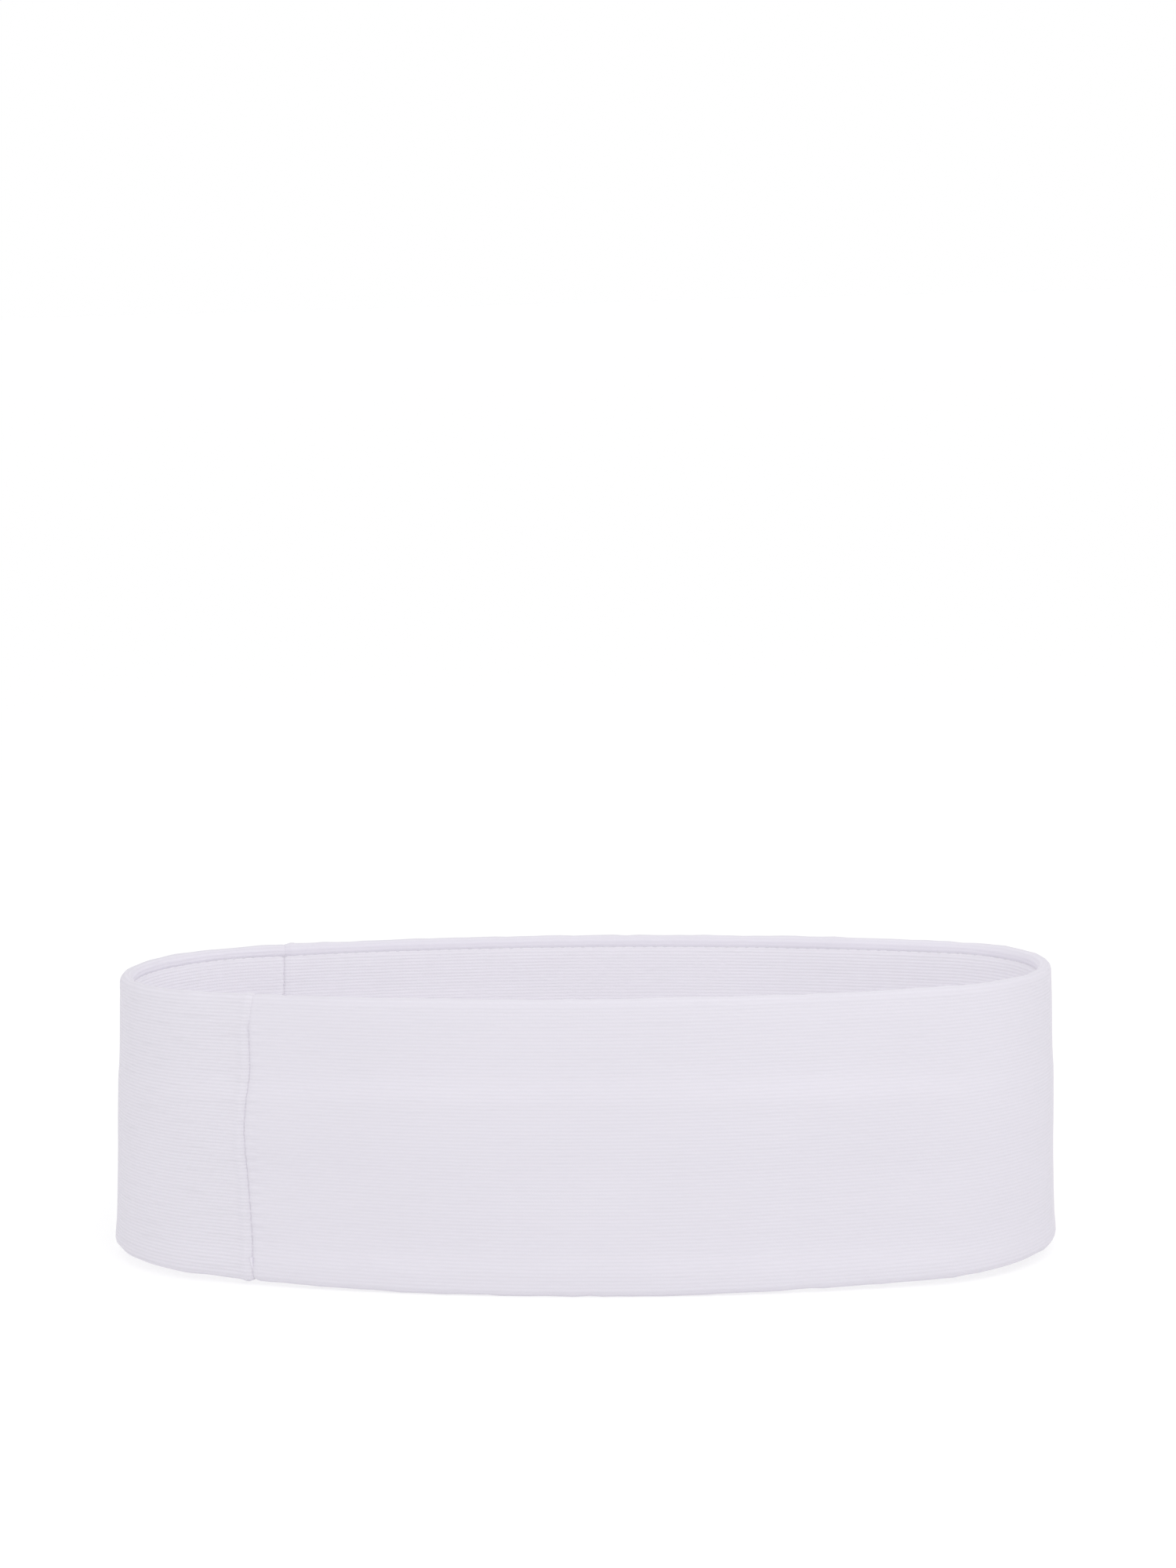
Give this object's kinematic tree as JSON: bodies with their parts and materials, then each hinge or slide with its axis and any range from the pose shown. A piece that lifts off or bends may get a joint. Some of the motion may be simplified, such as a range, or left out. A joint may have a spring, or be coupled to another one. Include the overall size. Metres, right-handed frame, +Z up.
{
  "type": "sports headband",
  "caption": "Wide double-layer knitted sports headband: a soft stretch loop with rolled edges and upright seams that keeps sweat and hair off the face.",
  "frame": {"origin": "middle of the base, at the height of the surface the band stands on", "axes": "+X along the length of the standing oval, towards the bend away from the upright seams; -Y out of the front side; +Z up, along the height of the band"},
  "size_m": [0.2175, 0.094, 0.0648],
  "materials": {
    "face_cloth": "soft matt knit",
    "side_cloth": "soft matt knit, ribs plainly visible",
    "lining_cloth": "soft matt knit",
    "thread": "matt spun thread"
  },
  "bodies": {
    "root": {"main_outer": "face_cloth", "side_outer": "side_cloth", "main_lining": "lining_cloth", "side_lining": "lining_cloth", "top_edge_thread": "thread", "bottom_edge_thread": "thread", "front_outer_thread": "thread", "rear_outer_thread": "thread", "front_lining_thread": "thread", "rear_lining_thread": "thread"}
  },
  "joints": []
}
